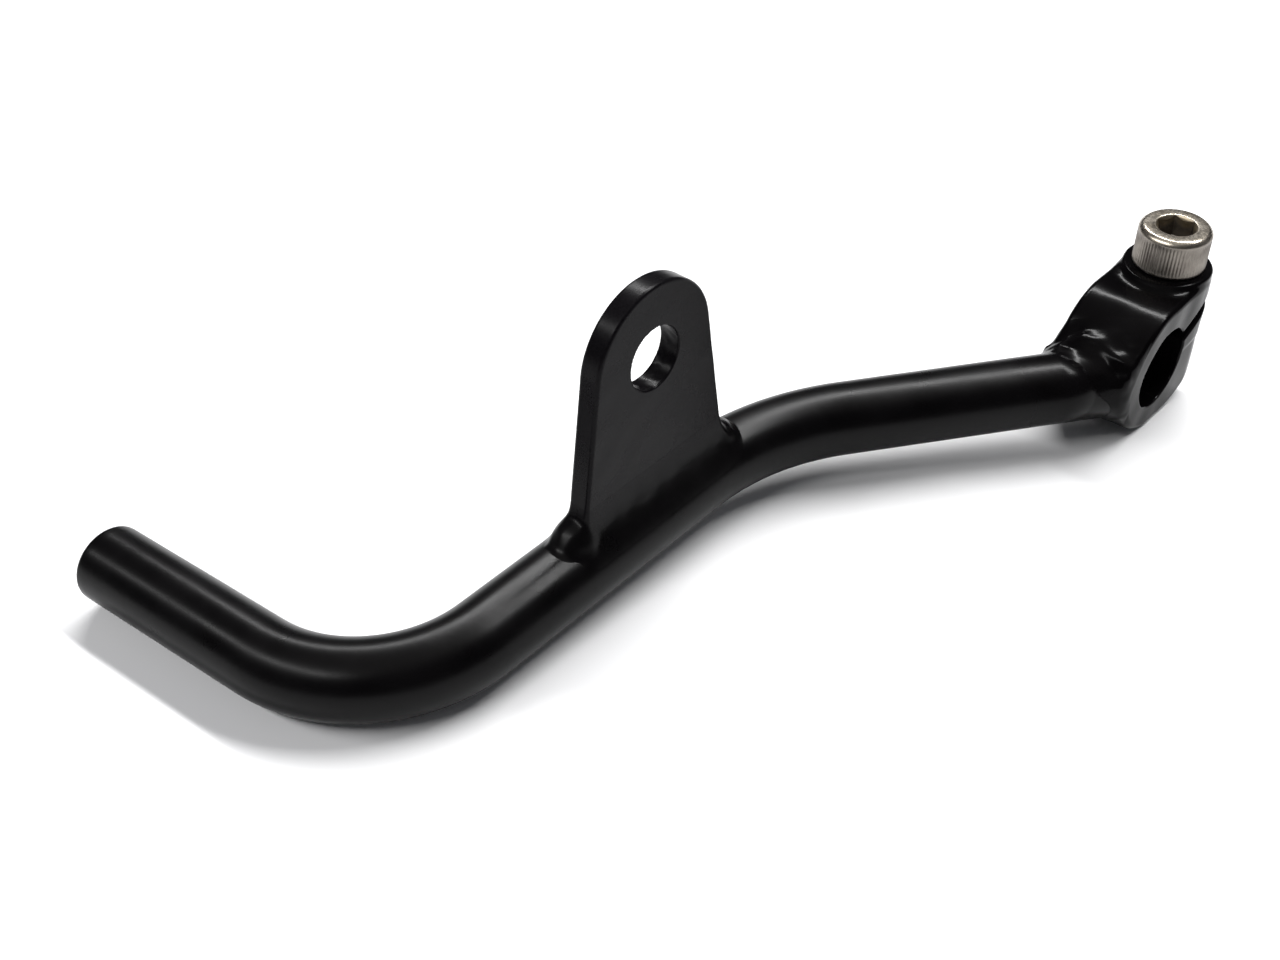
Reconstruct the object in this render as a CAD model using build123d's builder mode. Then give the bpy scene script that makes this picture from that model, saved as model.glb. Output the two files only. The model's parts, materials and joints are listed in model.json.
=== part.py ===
"""Clamp-on foot lever: a bent round bar, a split clamp hub and a linkage tab.

Frame: the origin is the centre of the hub's bore, +Y runs along the bore,
+Z is up along the pinch screw, towards its head, and the bar reaches out
towards -X. All sizes are in millimetres.
"""
from build123d import *
from math import cos, radians, sin, tan
import os

# Bar: one length of round stock with two bends, all in the plane Z = 0.
bar_diameter = 10.0
arm_angle = 36.5            # of the arm next to the hub, from -X towards +Y
arm_axis_y = -7.4           # where the arm's axis would cross the plane X = 0
knee_x = -48.5              # corner between the arm and the middle leg
knee_bend_radius = 37.0
foot_x = -117.0             # corner between the middle leg and the foot peg
foot_bend_radius = 19.0
peg_lean = 5.0              # the peg leans this far out from the +Y direction
peg_end_y = 73.0
peg_end_chamfer = 0.6

# Clamp hub: half round at the bar, with a round screw ear behind that a slot splits.
bore_diameter = 12.0
hub_width = 12.5            # along the bore
hub_wall = 3.7
hub_edge_radius = 0.8
lower_jaw_radius = 11.0     # of the lower jaw's round corner, seen along the bore
slot_width = 2.0
slot_angle = 26.0           # the slot runs out from the bore's axis, this far up from +X
seat_rise = 0.9             # the round seat under the screw's head
seat_radius = 6.2
seat_fillet = 0.6

# Pinch screw: M6 x 20 socket-head cap screw.
screw_x = 9.3
screw_diameter = 6.0
screw_length = 20.0
head_diameter = 10.0
head_height = 6.0
head_chamfer = 0.5
socket_across_flats = 5.0
socket_depth = 3.2
tip_chamfer = 0.8
clearance_hole_diameter = 6.6
thread_clearance = 0.05     # on the radius, in the lower jaw's thread

# Linkage tab: a plate that stands on the middle leg, over the bar's axis.
tab_thickness = 3.0
tab_x = -70.5
eye_height = 25.0           # of the eye's axis over the bar's axis
eye_diameter = 8.4
tab_top_radius = 10.0
tab_taper = 8.5             # of each side edge, from upright
tab_edge_radius = 0.4

# Weld beads.
hub_weld_reach = 5.0        # along the arm, from the hub
hub_weld_rise = 2.0         # over the bar, next to the hub
hub_weld_toe = 0.1          # over the bar, at the weld's far end
tab_bead_height = 2.2       # up the plate, over the bar's crown
tab_bead_reach = 4.2        # out from the plate's middle plane
end_bead_radius = 2.8
end_bead_overlap = 0.6      # how far a lump reaches back along the tab's edge

bar_radius = bar_diameter / 2
bore_radius = bore_diameter / 2
screw_radius = screw_diameter / 2
hub_radius = bore_radius + hub_wall
ear_radius = hub_width / 2
seat_z = hub_radius + seat_rise
slot_z_at_screw = screw_x * tan(radians(slot_angle))
arm_slope = tan(radians(arm_angle))
leg_y = arm_axis_y - knee_x * arm_slope
peg_end_x = foot_x - (peg_end_y - leg_y) * tan(radians(peg_lean))
tab_foot_half_length = (tab_top_radius / cos(radians(tab_taper))
                        + eye_height * tan(radians(tab_taper)))
very_long = 100.0           # reach of a cutter that must clear everything

os.makedirs("parts", exist_ok=True)


def arm_point(x):
    """Return the point of the arm's axis at this X."""
    return Vector(x, arm_axis_y - x * arm_slope, 0)


def tab_plane(y):
    """Return the upright plane of the tab at this Y, facing -Y, at the bar's axis."""
    return Plane(origin=(tab_x, y, 0), x_dir=(1, 0, 0), z_dir=(0, -1, 0))


# Plain shapes that cut a neighbour's joint face.
with BuildPart() as barrel_cutter:
    with BuildSketch(Plane.XZ):
        Circle(hub_radius)
    extrude(amount=very_long, both=True)


# Bar: a round section swept along the two bends, with its end coped to the hub.
with BuildPart() as lever_bar:
    with BuildLine() as bar_path:
        bar_corners = [
            arm_point(0),
            Vector(knee_x, leg_y, 0),
            Vector(foot_x, leg_y, 0),
            Vector(peg_end_x, peg_end_y, 0),
        ]
        FilletPolyline(*bar_corners, radius=[knee_bend_radius, foot_bend_radius])
    with BuildSketch(Plane(origin=bar_path.line @ 0, z_dir=bar_path.line % 0)):
        Circle(bar_radius)
    sweep(path=bar_path.line)
    peg_end_face = lever_bar.faces().sort_by(Axis.Y)[-1]
    chamfer(peg_end_face.edges(), length=peg_end_chamfer)
    add(barrel_cutter.part, mode=Mode.SUBTRACT)
lever_bar.part.label = "lever_bar"
export_step(lever_bar.part, "parts/lever_bar.step")


# Hub: the side profile along the bore, trimmed to a round ear seen from above.
with BuildPart() as clamp_hub:
    with BuildSketch(Plane.XZ):
        Circle(hub_radius)
        with Locations((0, -hub_radius)):
            Rectangle(screw_x + ear_radius, 2 * hub_radius, align=(Align.MIN, Align.MIN))
    extrude(amount=hub_width / 2, both=True)
    with BuildSketch(Plane.XY):
        with Locations((screw_x, 0)):
            Circle(ear_radius)
            Rectangle(very_long, hub_width, align=(Align.MAX, Align.CENTER))
    extrude(amount=very_long, both=True, mode=Mode.INTERSECT)
    fillet(clamp_hub.edges().filter_by(Axis.Y, reverse=True), radius=hub_edge_radius)
    with BuildSketch(Plane.XZ) as jaw_outline:
        with Locations((screw_x + ear_radius, -hub_radius)):
            Rectangle(very_long, very_long, align=(Align.MAX, Align.MIN))
        lower_corner = jaw_outline.vertices().group_by(Axis.Y)[0].sort_by(Axis.X)[-1]
        fillet(lower_corner, radius=lower_jaw_radius)
    extrude(amount=very_long, both=True, mode=Mode.INTERSECT)
    with BuildSketch(Plane.XZ) as seat_section:
        with Locations((screw_x, 0)):
            Rectangle(seat_radius, seat_z, align=(Align.MIN, Align.MIN))
        seat_rim = seat_section.vertices().group_by(Axis.Y)[-1].sort_by(Axis.X)[-1]
        fillet(seat_rim, radius=seat_fillet)
    revolve(axis=Axis((screw_x, 0, 0), (0, 0, 1)))
    with BuildSketch(Plane.XZ):
        Circle(bore_radius)
    extrude(amount=very_long, both=True, mode=Mode.SUBTRACT)
    with BuildSketch(Plane.XZ):
        Rectangle(very_long, slot_width, rotation=slot_angle,
                  align=(Align.MIN, Align.CENTER))
    extrude(amount=very_long, both=True, mode=Mode.SUBTRACT)
    with BuildSketch(Plane.XY.offset(slot_z_at_screw)):
        with Locations((screw_x, 0)):
            Circle(clearance_hole_diameter / 2)
    extrude(amount=very_long, mode=Mode.SUBTRACT)
    with BuildSketch(Plane.XY.offset(slot_z_at_screw)):
        with Locations((screw_x, 0)):
            Circle(screw_radius + thread_clearance)
    extrude(amount=-very_long, mode=Mode.SUBTRACT)
clamp_hub.part.label = "clamp_hub"
export_step(clamp_hub.part, "parts/clamp_hub.step")


# Linkage tab: a round-topped plate with tapered sides, coped over the bar.
with BuildPart() as linkage_tab:
    with BuildSketch(tab_plane(leg_y)):
        with Locations((0, eye_height)):
            Circle(tab_top_radius)
        with BuildLine():
            side_x = tab_top_radius * cos(radians(tab_taper))
            side_z = eye_height + tab_top_radius * sin(radians(tab_taper))
            Polyline(
                (-tab_foot_half_length, 0),
                (tab_foot_half_length, 0),
                (side_x, side_z),
                (-side_x, side_z),
                close=True,
            )
        make_face()
    extrude(amount=tab_thickness / 2, both=True)
    front_face = linkage_tab.faces().sort_by(Axis.Y)[0]
    rear_face = linkage_tab.faces().sort_by(Axis.Y)[-1]
    outline_edges = (front_face.edges() + rear_face.edges()).sort_by(Axis.Z)
    bottom_edges = outline_edges.group_by(Axis.Z)[0]
    fillet(outline_edges - bottom_edges, radius=tab_edge_radius)
    with BuildSketch(tab_plane(leg_y)):
        with Locations((0, eye_height)):
            Circle(eye_diameter / 2)
    extrude(amount=very_long, both=True, mode=Mode.SUBTRACT)
    add(lever_bar.part, mode=Mode.SUBTRACT)
    with Locations((tab_x, leg_y, 0)):
        Box(very_long, very_long, very_long, align=(Align.CENTER, Align.CENTER, Align.MAX),
            mode=Mode.SUBTRACT)
linkage_tab.part.label = "linkage_tab"
export_step(linkage_tab.part, "parts/linkage_tab.step")


# Hub weld: a cone round the arm's end, with the bar and the hub's round taken out.
with BuildPart() as hub_weld:
    arm_direction = (arm_point(knee_x) - arm_point(0)).normalized()
    weld_start = arm_point(-hub_radius / 2)
    weld_end = arm_point(-hub_radius) + arm_direction * hub_weld_reach
    with BuildSketch(Plane(origin=weld_start, z_dir=arm_direction)):
        Circle(bar_radius + hub_weld_rise)
    with BuildSketch(Plane(origin=weld_end, z_dir=arm_direction)):
        Circle(bar_radius + hub_weld_toe)
    loft()
    add(lever_bar.part, mode=Mode.SUBTRACT)
    add(barrel_cutter.part, mode=Mode.SUBTRACT)
    with Locations((0, -ear_radius, 0)):
        Box(very_long, very_long, very_long, align=(Align.CENTER, Align.MAX, Align.CENTER),
            mode=Mode.SUBTRACT)
hub_weld.part.label = "hub_weld"
export_step(hub_weld.part, "parts/hub_weld.step")


def make_side_bead(name, side):
    """Make the fillet bead along one face of the tab; side is -1 at -Y and +1 at +Y."""
    with BuildPart() as bead:
        section_plane = Plane(
            origin=(tab_x, leg_y, 0), x_dir=(0, side, 0), z_dir=(side, 0, 0))
        with BuildSketch(section_plane):
            with BuildLine():
                Polyline(
                    (tab_thickness / 2, 0),
                    (tab_bead_reach, 0),
                    (tab_bead_reach, bar_radius / 2),
                    (tab_thickness / 2, bar_radius + tab_bead_height),
                    close=True,
                )
            make_face()
        extrude(amount=tab_foot_half_length, both=True)
        add(lever_bar.part, mode=Mode.SUBTRACT)
    bead.part.label = name
    export_step(bead.part, f"parts/{name}.step")
    return bead.part


front_bead = make_side_bead("tab_weld_front", -1)
rear_bead = make_side_bead("tab_weld_rear", 1)


def make_end_bead(name, side):
    """Make the round lump at one end of the tab; side is -1 at the foot and +1 at the hub."""
    with BuildPart() as bead:
        foot_x_position = tab_x + side * tab_foot_half_length
        with Locations((foot_x_position, leg_y, bar_radius)):
            Sphere(end_bead_radius)
        for neighbour in (lever_bar.part, linkage_tab.part, front_bead, rear_bead):
            add(neighbour, mode=Mode.SUBTRACT)
        inner_face = Plane.YZ.offset(foot_x_position - side * end_bead_overlap)
        split(bisect_by=inner_face, keep=Keep.TOP if side > 0 else Keep.BOTTOM)
    bead.part.label = name
    export_step(bead.part, f"parts/{name}.step")


make_end_bead("tab_weld_foot_end", -1)
make_end_bead("tab_weld_hub_end", 1)


# Pinch screw: head with a hexagon socket, and a plain shank at the thread's diameter.
with BuildPart() as pinch_screw:
    with BuildSketch(Plane(origin=(screw_x, 0, seat_z))):
        Circle(head_diameter / 2)
    extrude(amount=head_height)
    chamfer(pinch_screw.faces().sort_by(Axis.Z)[-1].edges(), length=head_chamfer)
    with BuildSketch(Plane(origin=(screw_x, 0, seat_z))):
        Circle(screw_radius)
    extrude(amount=-screw_length)
    chamfer(pinch_screw.faces().sort_by(Axis.Z)[0].edges(), length=tip_chamfer)
    with BuildSketch(Plane(origin=(screw_x, 0, seat_z + head_height))):
        RegularPolygon(radius=socket_across_flats / 2, side_count=6, major_radius=False)
    extrude(amount=-socket_depth, mode=Mode.SUBTRACT)
pinch_screw.part.label = "pinch_screw"
export_step(pinch_screw.part, "parts/pinch_screw.step")
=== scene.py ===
"""Looks of the clamp-on foot lever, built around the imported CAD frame.

Shapes are worked out in millimetres, in the row frame, and become meshes in metres.
Painted castings, plates and weld beads are distance fields turned into meshes, so that
their corners and joints are rounded as thick paint rounds them.
"""
import json
from math import atan2, cos, hypot, pi, radians, sin, tan

import bpy
import numpy as np
from mathutils import Matrix, Vector


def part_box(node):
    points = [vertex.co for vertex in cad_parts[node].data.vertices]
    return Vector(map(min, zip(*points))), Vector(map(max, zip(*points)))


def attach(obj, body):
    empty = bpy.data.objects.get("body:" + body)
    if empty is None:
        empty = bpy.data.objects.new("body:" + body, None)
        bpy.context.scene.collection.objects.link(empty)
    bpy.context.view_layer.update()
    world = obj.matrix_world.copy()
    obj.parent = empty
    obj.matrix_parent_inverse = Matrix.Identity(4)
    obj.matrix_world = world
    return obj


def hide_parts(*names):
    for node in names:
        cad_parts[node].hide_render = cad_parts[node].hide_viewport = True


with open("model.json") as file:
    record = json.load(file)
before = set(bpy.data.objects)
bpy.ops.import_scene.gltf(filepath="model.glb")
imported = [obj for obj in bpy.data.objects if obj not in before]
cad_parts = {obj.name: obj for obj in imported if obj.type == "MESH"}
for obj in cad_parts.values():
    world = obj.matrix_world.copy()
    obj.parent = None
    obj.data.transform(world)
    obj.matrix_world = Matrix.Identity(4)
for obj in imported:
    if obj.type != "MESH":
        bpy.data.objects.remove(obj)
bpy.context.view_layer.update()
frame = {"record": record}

MM = 0.001


def box_mm(node):
    """Return a CAD node's lowest and highest corners in millimetres."""
    low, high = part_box(node)
    return np.array(low) / MM, np.array(high) / MM


mounts = {mount["name"]: mount for mount in frame["record"]["mounts"]}
bore_mount = mounts["shaft_bore"]
eye_mount = mounts["linkage_eye"]
peg_mount = mounts["foot_peg"]
hub_low, hub_high = box_mm("clamp_hub")
screw_low, screw_high = box_mm("pinch_screw")
tab_low, tab_high = box_mm("linkage_tab")

# Bar, as in the CAD model.
bar_radius = peg_mount["dims"]["r_mm"]
arm_angle = radians(36.5)
arm_axis_y = -7.4
knee_x = -48.5
knee_bend_radius = 37.0
foot_x = -117.0
foot_bend_radius = 19.0
peg_end_y = 73.0
peg_end_edge_radius = 0.7
bar_segments = 144
bar_ring_gap = 0.8          # between the rings of the bar's mesh
cope_gap = 0.8              # the bar's end stops this far from the hub's round, under the weld

# Clamp hub.
bore_radius = bore_mount["dims"]["r_mm"]
hub_radius = -hub_low[0]
hub_half_width = hub_high[1]
hub_edge_radius = 0.9
hub_bore_edge_radius = 0.3
lower_jaw_radius = 11.0
slot_width = 2.0
slot_angle = radians(26)
slot_edge_radius = 0.3
seat_z = hub_high[2]
seat_radius = 6.25
seat_edge_radius = 0.5
edge_seat_blend = 0.4       # round the ear, where the seat is flush with it
seat_blend = 2.2            # towards the bore
seat_gap = 0.01             # kept clear between the seat and the screw's head
screw_x = (screw_low[0] + screw_high[0]) / 2
clearance_hole_radius = 3.3
thread_hole_radius = 3.05

# Linkage tab.
eye_x, leg_y, eye_z = (value / MM for value in eye_mount["pos_m"])
eye_radius = eye_mount["dims"]["r_mm"]
tab_half_thickness = (tab_high[1] - tab_low[1]) / 2
tab_top_radius = tab_high[2] - eye_z
tab_taper = radians(8.5)
tab_edge_radius = 0.45
tab_foot_half_length = tab_top_radius / cos(tab_taper) + eye_z * tan(tab_taper)

# Pinch screw.
head_radius = (screw_high[0] - screw_low[0]) / 2 + 0.1
head_top_z = screw_high[2]
screw_tip_z = screw_low[2]
head_top_chamfer = 0.8
chamfer_power = 1.35         # 1 would be a round edge, 2 a straight chamfer
head_foot_chamfer = 0.25
knurl_ridges = 66
knurl_depth = 0.13
screw_segments = 4 * knurl_ridges
socket_half_flats = 2.45
socket_depth = 3.2
socket_rim_radius = 2.92
socket_rim_slope = radians(45)
thread_radius = 2.98
thread_depth = 0.55
thread_pitch = 1.0
thread_rows_per_pitch = 8
plain_neck_length = 1.0     # of unthreaded shank under the head
tip_chamfer = 0.8

# Weld beads.
weld_sink = 0.006           # a bead's mesh lies this far inside the skin that it is cut from
weld_root = 0.3             # how far a bead reaches into its neighbours
toe_thickness = 0.012       # a bead dives under its neighbours where it is thinner than this
toe_steepness = 30.0
hub_weld_reach = 13.0
low_hub_weld_blend = 2.2    # width of the fill up to low_blend_z
high_hub_weld_blend = 4.6   # and from high_blend_z up
low_blend_z = -2.0
high_blend_z = 3.0
hub_weld_front_room = 0.1   # how far the bead may stand in front of the hub's face
hub_weld_end_x = -2.0       # the bead ends here, over the bore
hub_weld_depth = 2.9        # of the bead's root, out from the bore
ridge_rise = 0.75           # height of the bead's crests
ridge_width = 1.1
ridge_reach = 3.4           # ridges fade out this far from both the hub and the bar
hub_weld_ridges = [         # crests of the bead beside the hub and over the bar
    [(-12.4, 4.4, 4.8), (-10.6, 5.0, 4.6), (-9.6, 4.2, 5.2), (-9.3, 2.6, 5.9)],
    [(-9.3, 2.6, 5.9), (-9.9, 1.1, 5.4), (-9.8, -0.9, 5.1)],
    [(-8.6, 1.9, 6.4), (-8.8, -0.3, 6.0), (-9.3, -2.8, 5.2)],
]
tab_weld_blend = 3.2
tab_weld_lean = 0.62        # under 1, the side beads reach further up the tab than over the bar
end_bead_radii = {-1: 1.9, 1: 1.4}      # towards the foot end and towards the hub
end_bead_blend = 1.8
end_bead_unevenness = 5.0
bead_overlap = 0.3          # neighbouring beads share this much
end_bead_inset = 0.6        # an end bead starts this far inside the end of the tab's foot
end_bead_reach = 3.0        # and may reach this far past its own ball
field_step = 0.2            # grid of the distance fields
fine_field_step = 0.16
skin_reach = 0.1            # a bead's points this near the shared skin are shaded by it
hub_weld_grid = ((-25, -7.5, -10.5), (-1, 18, 10.5))    # box that holds the hub's bead
shading_probe = 0.05        # half the gap over which a field's slope is measured for shading

# Paint and plating: colours, roughness and specular level; heights and distances in mm.
dark_gloss_colour = (0.0012, 0.0010, 0.0012)
light_gloss_colour = (0.0024, 0.0021, 0.0024)
dark_pale_colour = (0.0024, 0.0020, 0.0026)
light_pale_colour = (0.0054, 0.0048, 0.0058)
hub_roughness = 0.19
bar_roughness = 0.29
tab_extra_roughness = -0.02
hub_specular = 0.062
bar_specular = 0.11
tab_extra_specular = -0.045
dark_plating_colour = (0.42, 0.37, 0.30)
light_plating_colour = (0.62, 0.57, 0.49)
# The head's knurled side: partly the knurl's own duller tone, partly painted shade.
dark_knurl_and_shade_colour = (0.14, 0.125, 0.11)
light_knurl_and_shade_colour = (0.24, 0.22, 0.195)
# Painted shade inside the hexagon socket: darker and browner than the plating.
dark_socket_shade_colour = (0.20, 0.165, 0.11)
light_socket_shade_colour = (0.40, 0.34, 0.25)
above_everything = (90.0, 91.0)
below_everything = (-91.0, -90.0)
hub_gloss_end = 12.0        # from here out, the paint gets duller
bar_gloss_start = 24.0      # until here
tab_weld_heights = (6.0, 9.4)     # the tab weld's paint turns from the bar's to the tab's
cloud_size = 6.0
peel_size = 2.0
peel_height = 0.014
paint_grain_size = 0.4
paint_grain_height = 0.0015
speck_size = 0.22
stain_size = 2.2
plating_grain_size = 0.5
plating_grain_height = 0.002
knurl_extra_roughness = 0.14
socket_extra_roughness = 0.12

# Surroundings.
world_colour = (0.14, 0.142, 0.15, 1)
reflected_wall_colour = (0.04, 0.039, 0.042)
reflected_ceiling_colour = (0.5, 0.49, 0.47)
ceiling_start, ceiling_end = 0.75, 0.98     # share of up in the directions where it shows
lamp_height = 1.2           # metres, as are the other sizes of the lamps
lamp_width = 0.10
lamp_far_y = 1.3
floor_half_size = 1500.0


# ---- Paths and distance fields -----------------------------------------------------

def turn_left(direction):
    """Return this plan direction turned a quarter turn to the left."""
    return np.array([-direction[1], direction[0]])


def make_bar_path():
    """Return the bar's corners in plan and its stretches: lines and arcs in order."""
    peg_axis = np.array(peg_mount["axis"][:2])
    peg_end_x = foot_x + (peg_end_y - bar_leg_y) * peg_axis[0] / peg_axis[1]
    corners = [
        np.array([0.0, arm_axis_y]),
        np.array([knee_x, bar_leg_y]),
        np.array([foot_x, bar_leg_y]),
        np.array([peg_end_x, peg_end_y]),
    ]
    stretches = []
    start = corners[0]
    bends = zip(corners, corners[1:], corners[2:], (knee_bend_radius, foot_bend_radius))
    for before, corner, after, radius in bends:
        way_in = (corner - before) / np.linalg.norm(corner - before)
        way_out = (after - corner) / np.linalg.norm(after - corner)
        turn = atan2(way_in[0] * way_out[1] - way_in[1] * way_out[0], way_in @ way_out)
        trim = radius * tan(abs(turn) / 2)
        arc_start = corner - way_in * trim
        centre = arc_start + turn_left(way_in) * radius * np.sign(turn)
        stretches.append({"kind": "line", "start": start, "end": arc_start})
        stretches.append({"kind": "arc", "start": arc_start, "centre": centre,
                          "radius": radius, "turn": turn})
        start = corner + way_out * trim
    stretches.append({"kind": "line", "start": start, "end": corners[-1]})
    return stretches


bar_leg_y = arm_axis_y - knee_x * tan(arm_angle)
bar_stretches = make_bar_path()
arm_direction = np.array([-cos(arm_angle), sin(arm_angle)])


def bar_field(x, y, z):
    """Distance to the bar's skin: negative inside."""
    plan = np.full(np.shape(x), np.inf)
    for stretch in bar_stretches:
        start = stretch["start"]
        if stretch["kind"] == "line":
            along = stretch["end"] - start
            share = ((x - start[0]) * along[0] + (y - start[1]) * along[1]) / (along @ along)
            share = np.clip(share, 0, 1)
            gap = np.hypot(x - start[0] - share * along[0], y - start[1] - share * along[1])
        else:
            centre = stretch["centre"]
            spoke = start - centre
            angle = np.arctan2(
                spoke[0] * (y - centre[1]) - spoke[1] * (x - centre[0]),
                spoke[0] * (x - centre[0]) + spoke[1] * (y - centre[1]))
            limits = sorted((0.0, stretch["turn"]))
            on_arc = (angle > limits[0]) & (angle < limits[1])
            gap = abs(np.hypot(x - centre[0], y - centre[1]) - stretch["radius"])
            gap = np.where(on_arc, gap, np.inf)
        plan = np.minimum(plan, gap)
    return np.hypot(plan, z) - bar_radius


def smooth_union(first, second, blend, unevenness=0):
    """Union of two fields whose inner corner is filled over about this width."""
    overlap = np.clip(blend - abs(first - second), 0, None) / blend
    return np.minimum(first, second) - overlap ** 2 * blend / 4 * (1 + unevenness)


def rounded_overlap(first, second, radius):
    """Overlap of two fields whose shared edge is rounded to this radius."""
    u = np.maximum(first + radius, 0)
    v = np.maximum(second + radius, 0)
    return np.minimum(np.maximum(first, second), -radius) + np.hypot(u, v)


def rounded_cut(solid, tool, radius):
    """A field with another cut out of it, and the cut's edge rounded."""
    return rounded_overlap(solid, -tool, radius)


def waves(x, y, z, wavelength, seed, count=9):
    """Smooth uneven waves of about this wavelength, between about -1 and 1."""
    random = np.random.default_rng(seed)
    total = np.zeros(np.shape(x))
    for _ in range(count):
        direction = random.normal(size=3)
        direction *= 2 * pi / wavelength / np.linalg.norm(direction)
        phase = random.uniform(0, 2 * pi)
        total += np.sin(direction[0] * x + direction[1] * y + direction[2] * z + phase)
    return total / count ** 0.5 / 1.2


def hub_outer_field(x, y, z):
    """The hub without its bore, slot and holes."""
    round_part = np.hypot(x, z) - hub_radius
    square_part = np.maximum(abs(z) - hub_radius, -x)
    corner_x = hub_high[0] - lower_jaw_radius
    corner_z = lower_jaw_radius - hub_radius
    jaw_corner = np.hypot(x - corner_x, z - corner_z) - lower_jaw_radius
    in_corner = (x > corner_x) & (z < corner_z)
    square_part = np.where(in_corner, np.maximum(square_part, jaw_corner), square_part)
    side = np.minimum(round_part, square_part)
    from_screw = np.where(x > screw_x, np.hypot(x - screw_x, y), abs(y))
    plan = from_screw - hub_half_width
    body = rounded_overlap(side, plan, hub_edge_radius)
    seat_wall = np.hypot(x - screw_x, y) - seat_radius
    seat = rounded_overlap(np.maximum(z - seat_z, -z), seat_wall, seat_edge_radius)
    towards_bore = np.clip((screw_x - x) / hub_half_width, 0, 1)
    blend = edge_seat_blend + (seat_blend - edge_seat_blend) * towards_bore
    unevenness = 0.03 * waves(x, y, z, 5.0, 11)
    side_and_top = smooth_union(body, seat, blend) + unevenness
    return np.maximum(side_and_top, z - seat_z + seat_gap)


def hub_field(x, y, z):
    """The clamp hub."""
    solid = hub_outer_field(x, y, z)
    bore = np.hypot(x, z) - bore_radius
    solid = rounded_cut(solid, bore, hub_bore_edge_radius)
    out = x * cos(slot_angle) + z * sin(slot_angle)
    up = z * cos(slot_angle) - x * sin(slot_angle)
    slot = np.maximum(abs(up) - slot_width / 2, -out)
    solid = rounded_cut(solid, slot, slot_edge_radius)
    hole_radius = np.where(up > 0, clearance_hole_radius, thread_hole_radius)
    hole = np.hypot(x - screw_x, y) - hole_radius
    return np.maximum(solid, -hole)


def tab_field(x, y, z):
    """The linkage tab, without the bar taken out of its foot."""
    across = abs(x - eye_x)
    up = z - eye_z
    round_top = np.hypot(across, up) - tab_top_radius
    side = across * cos(tab_taper) + up * sin(tab_taper) - tab_top_radius
    below_tangent = up * cos(tab_taper) < across * sin(tab_taper)
    outline = np.where(below_tangent, side, round_top)
    plate = abs(y - leg_y) - tab_half_thickness + 0.012 * waves(x, y, z, 4.0, 21)
    solid = rounded_overlap(outline, plate, tab_edge_radius)
    eye_edge = eye_radius + 0.015 * waves(x, y, z, 1.1, 22)
    eye = np.hypot(x - eye_x, z - eye_z) - eye_edge
    return rounded_cut(solid, eye, tab_edge_radius / 2)


def tab_piece_field(x, y, z):
    """The linkage tab as its own piece, coped a little into the bar."""
    bar = bar_field(x, y, z) + weld_root
    return np.maximum(np.maximum(tab_field(x, y, z), -bar), -z)


def bead_field(skin, neighbours, region):
    """A bead's own solid: what the skin adds to its neighbours, with a shallow root.

    At its toe, where it adds next to nothing, the bead dives under its neighbours.
    """
    union = neighbours[0]
    for neighbour in neighbours:
        union = np.minimum(union, neighbour)
    added = union - skin
    solid = skin + weld_sink + toe_steepness * np.maximum(toe_thickness - added, 0)
    for neighbour in neighbours:
        solid = np.maximum(solid, -(neighbour + weld_root))
    return np.maximum(solid, region)


def ridge_height(x, y, z, points):
    """Height of a soft ridge that follows a few points: 1 on them, falling to 0 around."""
    nearest = np.full(np.shape(x), np.inf)
    for start, end in zip(points, points[1:]):
        start, along = np.array(start), np.subtract(end, start)
        share = ((x - start[0]) * along[0] + (y - start[1]) * along[1]
                 + (z - start[2]) * along[2]) / (along @ along)
        share = np.clip(share, 0, 1)
        gap = np.sqrt(sum((value - start[axis] - share * along[axis]) ** 2
                          for axis, value in enumerate((x, y, z))))
        nearest = np.minimum(nearest, gap)
    return np.exp(-(nearest / ridge_width) ** 2)


def hub_weld_skin(x, y, z):
    """The skin of the hub, the bar and the weld between them, fullest over the bar."""
    hub = hub_outer_field(x, y, z)
    bar = bar_field(x, y, z)
    rise = np.clip((z - low_blend_z) / (high_blend_z - low_blend_z), 0, 1)
    rise = rise ** 2 * (3 - 2 * rise)
    blend = low_hub_weld_blend + (high_hub_weld_blend - low_hub_weld_blend) * rise
    lumps = 0.25 * waves(x, y, z, 3.6, 31) + 0.05 * waves(x, y, z, 1.6, 32)
    skin = smooth_union(hub, bar, blend, lumps)
    near_corner = np.clip(1 - np.maximum(abs(hub), abs(bar)) / ridge_reach, 0, 1)
    for ridge in hub_weld_ridges:
        skin = skin - ridge_rise * near_corner * ridge_height(x, y, z, ridge)
    front = -(y + hub_half_width + hub_weld_front_room)
    return rounded_overlap(skin, front, hub_edge_radius)


def hub_weld_field(x, y, z):
    """The weld round the arm's end as its own solid."""
    out = x * arm_direction[0] + (y - arm_axis_y) * arm_direction[1] - hub_radius
    from_shaft = np.hypot(x, z)
    region = np.maximum(out - hub_weld_reach, bore_radius + hub_weld_depth - from_shaft)
    region = np.maximum(region, x - hub_weld_end_x)
    bar = np.maximum(bar_field(x, y, z), hub_radius + cope_gap - from_shaft)
    return bead_field(hub_weld_skin(x, y, z), (hub_outer_field(x, y, z), bar), region)


def tab_weld_skin(x, y, z):
    """The skin of the bar, the tab and all four of its beads run together."""
    bar = bar_field(x, y, z)
    tab = tab_field(x, y, z)
    ripple = 0.03 * waves(x, y, z, 4.0, 41) + 0.01 * waves(x, y, z, 1.6, 42)
    skin = smooth_union(tab_weld_lean * bar, tab, tab_weld_blend, ripple)
    for side in (-1, 1):
        centre_x = eye_x + side * tab_foot_half_length
        lump = np.sqrt((x - centre_x) ** 2 + (y - leg_y) ** 2 + (z - bar_radius) ** 2)
        radius = end_bead_radii[side] - end_bead_unevenness * ripple
        skin = smooth_union(skin, lump - radius, end_bead_blend)
    return skin


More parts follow.
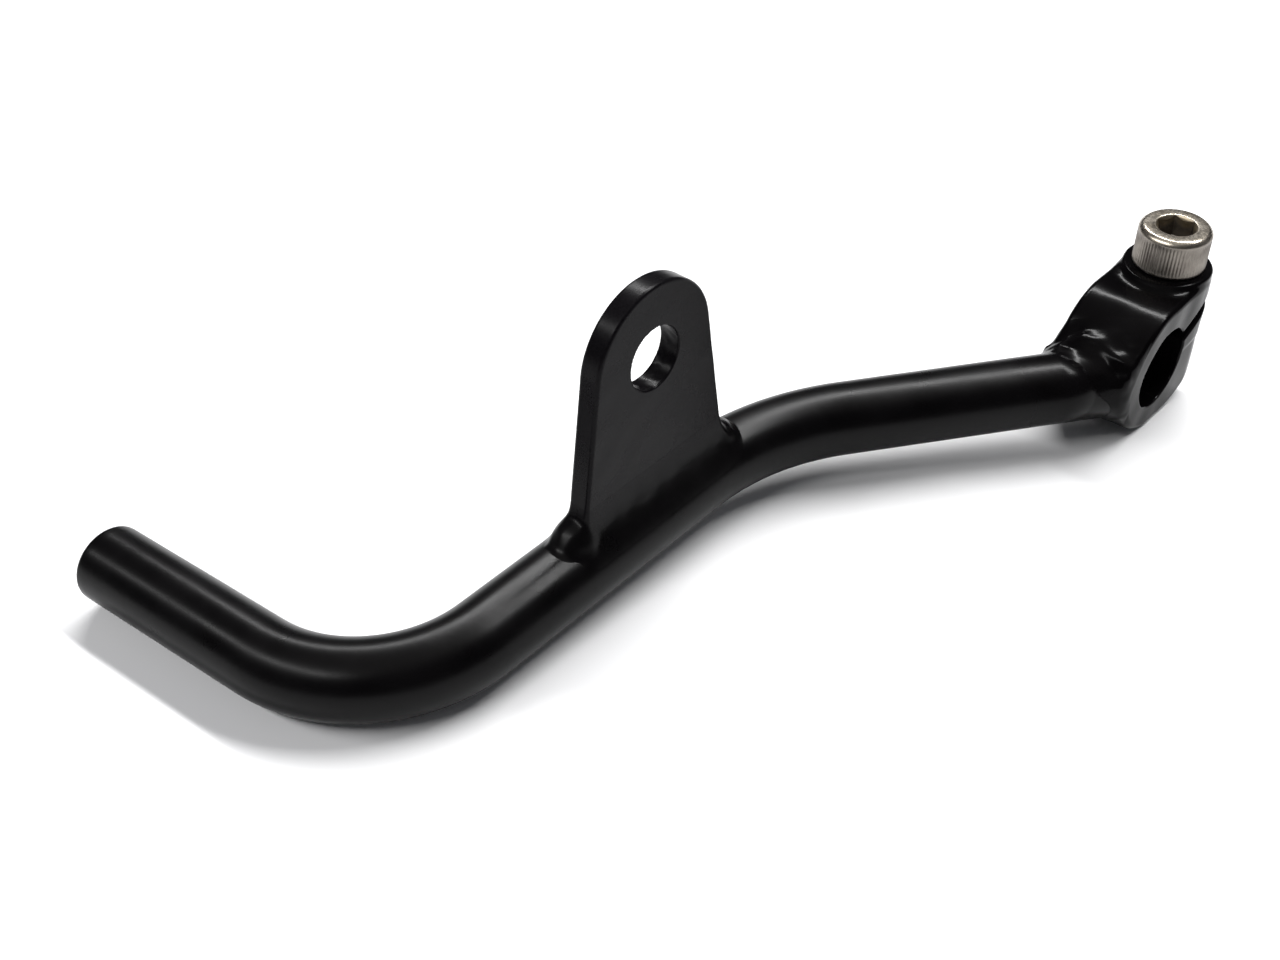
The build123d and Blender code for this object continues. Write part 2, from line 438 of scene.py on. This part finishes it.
def tab_weld_fields():
    """Return each tab bead's field by name: the shared skin parted by planes."""
    reach = end_bead_radii[-1] + end_bead_reach
    end_start = tab_foot_half_length - end_bead_inset

    def side_bead(side):
        def field(x, y, z):
            region = np.maximum(abs(x - eye_x) - end_start - bead_overlap,
                                side * (leg_y - y))
            neighbours = (tab_weld_lean * bar_field(x, y, z), tab_field(x, y, z))
            return bead_field(tab_weld_skin(x, y, z), neighbours, region)
        return field

    def end_bead(side):
        def field(x, y, z):
            out = side * (x - eye_x)
            region = np.maximum(end_start - out, out - tab_foot_half_length - reach)
            neighbours = (tab_weld_lean * bar_field(x, y, z), tab_field(x, y, z))
            return bead_field(tab_weld_skin(x, y, z), neighbours, region)
        return field

    return {
        "tab_weld_front": side_bead(-1),
        "tab_weld_rear": side_bead(1),
        "tab_weld_foot_end": end_bead(-1),
        "tab_weld_hub_end": end_bead(1),
    }


# ---- Meshes ------------------------------------------------------------------------

def make_object(name, points, faces):
    """Make a smooth-shaded mesh object from points in millimetres."""
    mesh = bpy.data.meshes.new(name)
    mesh.from_pydata((np.asarray(points) * MM).tolist(), [], faces)
    mesh.validate()
    mesh.polygons.foreach_set("use_smooth", [True] * len(mesh.polygons))
    mesh.update()
    piece = bpy.data.objects.new(name, mesh)
    bpy.context.scene.collection.objects.link(piece)
    return piece


CUBE_CORNERS = np.array([(i, j, k) for i in (0, 1) for j in (0, 1) for k in (0, 1)])
CUBE_EDGES = [(a, b) for a in range(8) for b in range(a + 1, 8)
              if abs(CUBE_CORNERS[a] - CUBE_CORNERS[b]).sum() == 1]


def field_points(field, low, values, cells, step):
    """Place one point in each cell on the zero level of the field."""
    corners = np.stack([values[tuple((cells + corner).T)] for corner in CUBE_CORNERS], 1)
    total = np.zeros((len(cells), 3))
    hits = np.zeros(len(cells))
    for a, b in CUBE_EDGES:
        first, second = corners[:, a], corners[:, b]
        crossed = (first < 0) != (second < 0)
        share = first / np.where(crossed, first - second, 1)
        spot = CUBE_CORNERS[a] + share[:, None] * (CUBE_CORNERS[b] - CUBE_CORNERS[a])
        total += np.where(crossed[:, None], spot, 0)
        hits += crossed
    points = low + step * (cells + total / hits[:, None])
    probe = step * 0.05
    for _ in range(2):
        here = field(*points.T)
        slope = field_slope(field, points, probe)
        steepness = np.maximum((slope ** 2).sum(1), 0.25)
        move = slope * (here / steepness)[:, None]
        points = points - np.clip(move, -step / 2, step / 2)
    return points


def field_slope(field, points, probe):
    """Return the field's slope at each point."""
    return np.stack([
        (field(*(points + probe * axis).T) - field(*(points - probe * axis).T)) / (2 * probe)
        for axis in np.eye(3)], 1)


def shade_from(piece, field, points, skin=None):
    """Shade a mesh by its field's slope, or by the shared skin's where the two agree."""
    slope = field_slope(field, points, shading_probe)
    if skin:
        on_skin = abs(skin(*points.T)) < skin_reach
        slope = np.where(on_skin[:, None], field_slope(skin, points, shading_probe), slope)
    length = np.maximum(np.linalg.norm(slope, axis=1), 1e-6)
    piece.data.normals_split_custom_set_from_vertices((slope / length[:, None]).tolist())


def field_object(name, field, low, high, step=field_step, skin=None):
    """Mesh the zero level of a distance field inside a box, by surface nets."""
    low = np.asarray(low, float)
    counts = np.ceil((np.asarray(high) - low) / step).astype(int) + 1
    axes = [low[i] + step * np.arange(counts[i]) for i in range(3)]
    values = field(*np.meshgrid(*axes, indexing="ij"))
    inside = values < 0
    held = sum(inside[i:counts[0] - 1 + i, j:counts[1] - 1 + j, k:counts[2] - 1 + k].astype(int)
               for i, j, k in CUBE_CORNERS)
    cells = np.argwhere((held > 0) & (held < 8))
    points = field_points(field, low, values, cells, step)
    number = np.full(held.shape, -1)
    number[tuple(cells.T)] = np.arange(len(cells))
    faces = []
    for axis in range(3):
        side_a, side_b = (axis + 1) % 3, (axis + 2) % 3
        first = np.take(inside, range(counts[axis] - 1), axis)
        second = np.take(inside, range(1, counts[axis]), axis)
        spots = np.argwhere(first != second)
        leaving = first[tuple(spots.T)]
        step_a, step_b = np.eye(3, dtype=int)[side_a], np.eye(3, dtype=int)[side_b]
        ring = [number[tuple((spots - offset).T)]
                for offset in (step_a + step_b, step_b, 0 * step_a, step_a)]
        quads = np.stack(ring, 1)
        quads = np.where(leaving[:, None], quads, quads[:, ::-1])
        faces += quads.tolist()
    piece = make_object(name, points, faces)
    shade_from(piece, field, points, skin)
    return piece


def ring_object(name, rings, start_cap, end_cap):
    """Make a closed mesh from rings of equal count and a point that caps each end."""
    count = len(rings[0])
    points = np.concatenate([[start_cap], *rings, [end_cap]])
    last = len(points) - 1
    around = np.arange(count)
    following = (around + 1) % count
    faces = [(0, 1 + b, 1 + a) for a, b in zip(around, following)]
    for row in range(len(rings) - 1):
        base = 1 + row * count
        quads = np.stack([base + around, base + following,
                          base + count + following, base + count + around], 1)
        faces += quads.tolist()
    base = last - count
    faces += [(last, base + a, base + b) for a, b in zip(around, following)]
    return make_object(name, points, faces)


def make_bar():
    """Sweep the bar's round section along its path, coped at the hub, rounded at the peg."""
    angles = np.linspace(0, 2 * pi, bar_segments, endpoint=False)
    centres, directions = [], []
    for stretch in bar_stretches:
        start = stretch["start"]
        if stretch["kind"] == "line":
            along = stretch["end"] - start
            length = np.linalg.norm(along)
            for share in np.arange(0, 1, bar_ring_gap / length):
                centres.append(start + share * along)
                directions.append(along / length)
        else:
            spoke = start - stretch["centre"]
            steps = round(stretch["radius"] * abs(stretch["turn"]) / bar_ring_gap)
            for turn in np.linspace(0, stretch["turn"], steps, endpoint=False):
                turned = np.array([spoke[0] * cos(turn) - spoke[1] * sin(turn),
                                   spoke[0] * sin(turn) + spoke[1] * cos(turn)])
                heading = turn_left(turned) / stretch["radius"] * np.sign(turn or stretch["turn"])
                centres.append(stretch["centre"] + turned)
                directions.append(heading)
    peg_end = bar_stretches[-1]["end"]
    peg_way = directions[-1]
    cope_radius = hub_radius + cope_gap

    def ring(centre, direction, radius):
        across = turn_left(direction)
        return np.stack([
            centre[0] + radius * np.cos(angles) * across[0],
            centre[1] + radius * np.cos(angles) * across[1],
            radius * np.sin(angles)], 1)

    def cope(points):
        """Slide a ring's points out along the arm until they clear the hub's round."""
        way = arm_direction
        along_x = np.sqrt(cope_radius ** 2 - points[:, 2] ** 2)
        missing = np.maximum(0, (-along_x - points[:, 0]) / way[0])
        points[:, :2] += missing[:, None] * way
        return points

    first_ring = cope(ring(centres[0], directions[0], bar_radius))
    first_reach = (first_ring[:, :2] - centres[0]) @ arm_direction
    rings = [first_ring]
    for centre, direction in zip(centres, directions):
        if (centre - centres[0]) @ arm_direction < first_reach.max() + bar_ring_gap / 2:
            continue
        if (peg_end - centre) @ peg_way < peg_end_edge_radius + bar_ring_gap / 2:
            continue
        rings.append(ring(centre, direction, bar_radius))
    for turn in np.linspace(0, pi / 2, 7):
        inset = peg_end_edge_radius * (1 - sin(turn))
        rim_radius = bar_radius - peg_end_edge_radius * (1 - cos(turn))
        rings.append(ring(peg_end - inset * peg_way, peg_way, rim_radius))
    for share in (0.8, 0.5, 0.25):
        rings.append(ring(peg_end, peg_way, bar_radius * share))
    start_cap = [-cope_radius, arm_axis_y + cope_radius * tan(arm_angle), 0]
    end_cap = [*peg_end, 0]
    rings = [points[::-1] for points in rings]
    return ring_object("bar_tube", rings, start_cap, end_cap)


def screw_ring(radius, z):
    """Return one ring round the screw's axis; radius and z may vary round it."""
    angles = np.linspace(0, 2 * pi, screw_segments, endpoint=False)
    return np.stack([screw_x + radius * np.cos(angles), radius * np.sin(angles),
                     z + 0 * angles], 1)


def make_screw():
    """Make the socket-head cap screw: knurled head, hexagon socket and helical thread."""
    angles = np.linspace(0, 2 * pi, screw_segments, endpoint=False)
    from_flat = (angles + pi / 6) % (pi / 3) - pi / 6
    hexagon = socket_half_flats / np.cos(from_flat)
    floor_z = head_top_z - socket_depth
    rim_drop = (socket_rim_radius - hexagon) * tan(socket_rim_slope)
    wall_top = head_top_z - rim_drop
    rings = [screw_ring(hexagon * share, floor_z - 0.5 * (1 - share)) for share in (0.3, 0.6, 0.9)]
    rings.append(screw_ring(hexagon, floor_z))
    for share in np.linspace(0.02, 0.98, 8):
        rings.append(screw_ring(hexagon, floor_z + share * (wall_top - floor_z)))
    rings.append(screw_ring(hexagon, wall_top))
    rings.append(screw_ring(socket_rim_radius - 0.05, head_top_z - 0.05 * tan(socket_rim_slope)))
    rings.append(screw_ring(socket_rim_radius, head_top_z - 0.01))
    rings.append(screw_ring(socket_rim_radius + 0.08, head_top_z))
    face_edge = head_radius - head_top_chamfer
    rings.append(screw_ring((socket_rim_radius + face_edge) / 2, head_top_z))
    for share in np.linspace(0, 1, 13):
        # A superellipse: a chamfer whose two edges are rounded.
        turn = share * pi / 2
        rings.append(screw_ring(face_edge + head_top_chamfer * sin(turn) ** chamfer_power,
                                head_top_z - head_top_chamfer * (1 - cos(turn) ** chamfer_power)))
    ridge = np.cos(knurl_ridges * angles)
    side_top = head_top_z - head_top_chamfer
    side_foot = seat_z + head_foot_chamfer
    rows = 18
    for row in range(1, rows + 1):
        share = row / rows
        z = side_top + share * (side_foot - side_top)
        fade = min(1.0, 6 * share, 9 * (1 - share))
        depth = knurl_depth * fade
        rings.append(screw_ring(head_radius - depth * (0.5 - 0.5 * ridge), z))
    rings.append(screw_ring(head_radius - head_foot_chamfer, seat_z + 0.02))
    rings.append(screw_ring(head_radius - head_foot_chamfer - 0.1, seat_z))
    rings.append(screw_ring(thread_radius + 0.3, seat_z))
    rings.append(screw_ring(thread_radius, seat_z - 0.3))
    thread_top = seat_z - plain_neck_length
    rings.append(screw_ring(thread_radius, thread_top))
    length = thread_top - screw_tip_z
    rows = round(length / thread_pitch * thread_rows_per_pitch)
    for row in range(1, rows):
        z = thread_top - row * length / rows
        turn = (z / thread_pitch - angles / (2 * pi)) % 1
        groove = np.clip(1.25 - 2.6 * abs(turn - 0.5), 0, 1)
        start = min(1.0, row / thread_rows_per_pitch)
        radius = thread_radius - thread_depth * start * (1 - groove)
        tip_limit = thread_radius - max(0.0, tip_chamfer - (z - screw_tip_z))
        rings.append(screw_ring(np.minimum(radius, tip_limit), z))
    rings.append(screw_ring(thread_radius - tip_chamfer - 0.05, screw_tip_z))
    rings = [points[::-1] for points in rings]
    start_cap = [screw_x, 0, floor_z - 0.7]
    end_cap = [screw_x, 0, screw_tip_z]
    return ring_object("screw_body", rings, start_cap, end_cap)


# ---- Materials ---------------------------------------------------------------------

def start_material(name):
    """Return a new node material's nodes, links and shader, with row-frame coordinates."""
    material = bpy.data.materials.new(name)
    material.use_nodes = True
    tree = material.node_tree
    place = tree.nodes.new("ShaderNodeTexCoord").outputs["Object"]
    return material, tree, tree.nodes["Principled BSDF"], place


def add_noise(tree, place, wavelength, detail=2.0):
    """Add noise whose features are about this many millimetres apart."""
    noise = tree.nodes.new("ShaderNodeTexNoise")
    noise.inputs["Scale"].default_value = 1 / (wavelength * MM)
    noise.inputs["Detail"].default_value = detail
    tree.links.new(place, noise.inputs["Vector"])
    return noise.outputs["Fac"]


def add_ramp(tree, value, stops):
    """Add a colour ramp through (position, colour) stops."""
    ramp = tree.nodes.new("ShaderNodeValToRGB")
    elements = ramp.color_ramp.elements
    while len(elements) < len(stops):
        elements.new(0.5)
    for element, (position, colour) in zip(elements, stops):
        element.position = position
        element.color = (*colour, 1)
    tree.links.new(value, ramp.inputs["Fac"])
    return ramp.outputs["Color"]


def add_range(tree, value, low, high):
    """Map a 0 to 1 value onto another range."""
    mapping = tree.nodes.new("ShaderNodeMapRange")
    mapping.inputs["From Min"].default_value = 0.3
    mapping.inputs["From Max"].default_value = 0.7
    mapping.inputs["To Min"].default_value = low
    mapping.inputs["To Max"].default_value = high
    tree.links.new(value, mapping.inputs["Value"])
    return mapping.outputs["Result"]


def add_bump(tree, height, size, normal=None):
    """Add a bump this many millimetres high over an earlier one."""
    bump = tree.nodes.new("ShaderNodeBump")
    bump.inputs["Distance"].default_value = size * MM
    tree.links.new(height, bump.inputs["Height"])
    if normal:
        tree.links.new(normal, bump.inputs["Normal"])
    return bump.outputs["Normal"]


def add_distance(tree, place, centre):
    """Measure the distance in millimetres from a point of the row frame."""
    gap = tree.nodes.new("ShaderNodeVectorMath")
    gap.operation = "DISTANCE"
    gap.inputs[1].default_value = [value * MM for value in centre]
    tree.links.new(place, gap.inputs[0])
    scale = tree.nodes.new("ShaderNodeMath")
    scale.operation = "MULTIPLY"
    scale.inputs[1].default_value = 1 / MM
    tree.links.new(gap.outputs["Value"], scale.inputs[0])
    return scale.outputs["Value"]


def add_step(tree, value, start, end, low, high):
    """Ease a value from low, before start, to high, after end."""
    mapping = tree.nodes.new("ShaderNodeMapRange")
    mapping.interpolation_type = "SMOOTHSTEP"
    mapping.inputs["From Min"].default_value = start
    mapping.inputs["From Max"].default_value = end
    mapping.inputs["To Min"].default_value = low
    mapping.inputs["To Max"].default_value = high
    tree.links.new(value, mapping.inputs["Value"])
    return mapping.outputs["Result"]


def add_sum(tree, first, second):
    """Add two values."""
    total = tree.nodes.new("ShaderNodeMath")
    tree.links.new(first, total.inputs[0])
    tree.links.new(second, total.inputs[1])
    return total.outputs["Value"]


def add_mix(tree, share, first, second):
    """Mix two colours."""
    mix = tree.nodes.new("ShaderNodeMixRGB")
    tree.links.new(share, mix.inputs["Fac"])
    tree.links.new(first, mix.inputs["Color1"])
    tree.links.new(second, mix.inputs["Color2"])
    return mix.outputs["Color"]


def make_paint(name, pale_heights):
    """Black paint with a cloudy tone, orange peel and grain.

    It is glossiest round the hub, and turns to the paler paint of the linkage tab between
    two heights over the bar's axis.
    """
    material, tree, shader, place = start_material(name)
    cloud = add_noise(tree, place, cloud_size, 4.0)
    grain = add_noise(tree, place, paint_grain_size, 3.0)
    peel = add_noise(tree, place, peel_size)
    speck = add_noise(tree, place, speck_size)
    height = tree.nodes.new("ShaderNodeSeparateXYZ")
    tree.links.new(place, height.inputs["Vector"])
    low, high = (value * MM for value in pale_heights)
    pale = add_step(tree, height.outputs["Z"], low, high, 0, 1)
    gloss_tone = add_ramp(tree, cloud, [(0.3, dark_gloss_colour), (0.7, light_gloss_colour)])
    pale_tone = add_ramp(tree, speck, [(0.3, dark_pale_colour), (0.7, light_pale_colour)])
    tree.links.new(add_mix(tree, pale, gloss_tone, pale_tone), shader.inputs["Base Color"])
    from_hub = add_distance(tree, place, (0, 0, 0))
    roughness = add_step(tree, from_hub, hub_gloss_end, bar_gloss_start,
                         hub_roughness, bar_roughness)
    roughness = add_sum(tree, roughness, add_range(tree, cloud, -0.02, 0.03))
    pale_roughness = add_step(tree, height.outputs["Z"], low, high, 0, tab_extra_roughness)
    roughness = add_sum(tree, roughness, pale_roughness)
    tree.links.new(roughness, shader.inputs["Roughness"])
    normal = add_bump(tree, peel, peel_height)
    normal = add_bump(tree, grain, paint_grain_height, normal)
    tree.links.new(normal, shader.inputs["Normal"])
    specular = add_step(tree, from_hub, hub_gloss_end, bar_gloss_start,
                        hub_specular, bar_specular)
    pale_specular = add_step(tree, height.outputs["Z"], low, high, 0, tab_extra_specular)
    specular = add_sum(tree, specular, pale_specular)
    tree.links.new(specular, shader.inputs["Specular IOR Level"])
    return material


def make_plating():
    """Warm plating, brightest on the head's top; the knurled side is darker, partly for the
    knurl's finish and partly as painted shade, and the socket is dull and darkened with painted
    shade.
    """
    material, tree, shader, place = start_material("plated_steel_look")
    stain = add_noise(tree, place, stain_size, 3.0)
    grain = add_noise(tree, place, plating_grain_size, 3.0)
    plating_tone = add_ramp(tree, stain, [(0.3, dark_plating_colour), (0.7, light_plating_colour)])
    socket_shade = add_ramp(tree, stain, [(0.3, dark_socket_shade_colour), (0.7, light_socket_shade_colour)])
    height = tree.nodes.new("ShaderNodeSeparateXYZ")
    tree.links.new(place, height.inputs["Vector"])
    knurl_start, knurl_end = (head_top_z - head_top_chamfer - 0.2) * MM, head_top_z * MM
    # Share of the head's top, which keeps the plain plating; below it the side takes the knurl
    # colour with its painted shade.
    unshaded_top = add_step(tree, height.outputs["Z"], knurl_start, knurl_end, 0, 1)
    knurl_and_shade = add_ramp(tree, stain, [(0.3, dark_knurl_and_shade_colour), (0.7, light_knurl_and_shade_colour)])
    plating_tone = add_mix(tree, unshaded_top, knurl_and_shade, plating_tone)
    from_top = add_distance(tree, place, (screw_x, 0, head_top_z))
    # Share of painted socket shade: 1 within the socket's rim, 0 outside it.
    share = add_step(tree, from_top, socket_rim_radius - 0.25, socket_rim_radius + 0.1, 1, 0)
    tree.links.new(add_mix(tree, share, plating_tone, socket_shade), shader.inputs["Base Color"])
    dullness = add_step(tree, from_top, socket_rim_radius - 0.1, socket_rim_radius + 0.2,
                        socket_extra_roughness, 0)
    knurl_dullness = add_step(tree, height.outputs["Z"], knurl_start, knurl_end,
                              knurl_extra_roughness, 0)
    roughness = add_sum(tree, add_range(tree, grain, 0.22, 0.30), dullness)
    roughness = add_sum(tree, roughness, knurl_dullness)
    tree.links.new(roughness, shader.inputs["Roughness"])
    tree.links.new(add_bump(tree, grain, plating_grain_height), shader.inputs["Normal"])
    shader.inputs["Metallic"].default_value = 1.0
    return material


def make_floor_material():
    """Pale matte floor."""
    material, tree, shader, place = start_material("floor_white")
    tone = add_noise(tree, place, 60.0)
    colour = add_ramp(tree, tone, [(0.3, (0.86, 0.86, 0.87)), (0.7, (0.9, 0.9, 0.9))])
    tree.links.new(colour, shader.inputs["Base Color"])
    shader.inputs["Roughness"].default_value = 0.8
    shader.inputs["Specular IOR Level"].default_value = 0.1
    return material


# ---- Pieces ------------------------------------------------------------------------

gloss_paint = make_paint("gloss_paint_look", above_everything)
tab_paint = make_paint("tab_paint_look", below_everything)
tab_weld_paint = make_paint("tab_weld_paint_look", tab_weld_heights)


def finish_piece(piece, body, node, material):
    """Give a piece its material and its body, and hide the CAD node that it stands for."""
    piece.data.materials.clear()
    piece.data.materials.append(material)
    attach(piece, body)
    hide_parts(node)


margin = 0.6                # of a grid's box round its piece
hub_piece = field_object("hub_casting", hub_field, hub_low - margin, hub_high + margin)
finish_piece(hub_piece, "frame", "clamp_hub", gloss_paint)

bar_piece = make_bar()
finish_piece(bar_piece, "frame", "lever_bar", gloss_paint)

tab_piece = field_object(
    "tab_plate", tab_piece_field,
    (eye_x - tab_foot_half_length - margin, leg_y - tab_half_thickness - margin, 0),
    (eye_x + tab_foot_half_length + margin, leg_y + tab_half_thickness + margin,
     eye_z + tab_top_radius + margin))
finish_piece(tab_piece, "frame", "linkage_tab", tab_paint)

weld_piece = field_object("hub_weld_bead", hub_weld_field, *hub_weld_grid,
                          fine_field_step, hub_weld_skin)
finish_piece(weld_piece, "frame", "hub_weld", gloss_paint)

for bead_name, bead in tab_weld_fields().items():
    reach_x = tab_foot_half_length + end_bead_radii[-1] + end_bead_reach + 1
    bead_piece = field_object(
        bead_name + "_bead", bead,
        (eye_x - reach_x, leg_y - bar_radius - 1, -1),
        (eye_x + reach_x, leg_y + bar_radius + 1, bar_radius + 7),
        fine_field_step, tab_weld_skin)
    finish_piece(bead_piece, "frame", bead_name, tab_weld_paint)

screw_piece = make_screw()
finish_piece(screw_piece, "screw", "pinch_screw", make_plating())


# ---- Floor, camera and light -------------------------------------------------------

def make_floor():
    """A wide pale floor that touches the hub's round and the foot peg."""
    slope = (hub_radius - bar_radius) / abs(foot_x - bar_radius)
    drop = hub_radius * hypot(1, slope)
    steps = np.linspace(-floor_half_size, floor_half_size, 9)
    points = [(x, y, -drop - slope * x) for y in steps for x in steps]
    faces = [(row * 9 + column, row * 9 + column + 1, row * 9 + column + 10, row * 9 + column + 9)
             for row in range(8) for column in range(8)]
    floor = make_object("floor", points, faces)
    floor.data.materials.append(make_floor_material())


def make_camera():
    """The camera, from its place, heading, pitch and roll."""
    place = Vector((-0.182668, -0.071408, 0.134592))
    heading = radians(42.038)
    pitch = radians(40.671)
    roll = radians(-0.772)
    forward = Vector((cos(heading) * cos(pitch), sin(heading) * cos(pitch), -sin(pitch)))
    level_right = Vector((sin(heading), -cos(heading), 0))
    level_up = level_right.cross(forward)
    right = level_right * cos(roll) + level_up * sin(roll)
    up = level_up * cos(roll) - level_right * sin(roll)
    data = bpy.data.cameras.new("camera")
    data.lens = 44.55
    data.sensor_width = 36.0
    data.clip_start = 0.01
    data.clip_end = 20.0
    camera = bpy.data.objects.new("camera", data)
    turn = Matrix((right, up, -forward)).transposed()
    camera.matrix_world = Matrix.Translation(place) @ turn.to_4x4()
    bpy.context.scene.collection.objects.link(camera)
    bpy.context.scene.camera = camera


def make_tube_light(name, x, z, low_y, high_y, width, power):
    """A long narrow lamp overhead, parallel to Y, that faces the object."""
    data = bpy.data.lights.new(name, "AREA")
    data.shape = "RECTANGLE"
    data.size = width
    data.size_y = high_y - low_y
    data.energy = power
    lamp = bpy.data.objects.new(name, data)
    lamp.location = (x, (low_y + high_y) / 2, z)
    lamp.rotation_euler = (0, atan2(x, z), 0)
    bpy.context.scene.collection.objects.link(lamp)


def make_world():
    """Soft light from all round, and a dim room with a paler ceiling in reflections."""
    world = bpy.data.worlds.new("studio")
    bpy.context.scene.world = world
    world.use_nodes = True
    tree = world.node_tree
    path = tree.nodes.new("ShaderNodeLightPath")
    direction = tree.nodes.new("ShaderNodeSeparateXYZ")
    sky = tree.nodes.new("ShaderNodeTexCoord").outputs["Generated"]
    tree.links.new(sky, direction.inputs["Vector"])
    overhead = add_step(tree, direction.outputs["Z"], ceiling_start, ceiling_end, 0, 1)
    room = add_ramp(tree, overhead, [(0, reflected_wall_colour), (1, reflected_ceiling_colour)])
    mix = tree.nodes.new("ShaderNodeMixRGB")
    mix.inputs["Color1"].default_value = world_colour
    tree.links.new(room, mix.inputs["Color2"])
    tree.links.new(path.outputs["Is Glossy Ray"], mix.inputs["Fac"])
    tree.links.new(mix.outputs["Color"], tree.nodes["Background"].inputs["Color"])


make_floor()
make_camera()
make_tube_light("lamp_right", 0.7, lamp_height, -0.65, lamp_far_y, lamp_width, 39.0)
make_tube_light("lamp_left", -0.95, lamp_height, -0.2, lamp_far_y, lamp_width, 14.0)
make_world()
bpy.context.scene.view_settings.view_transform = "Standard"
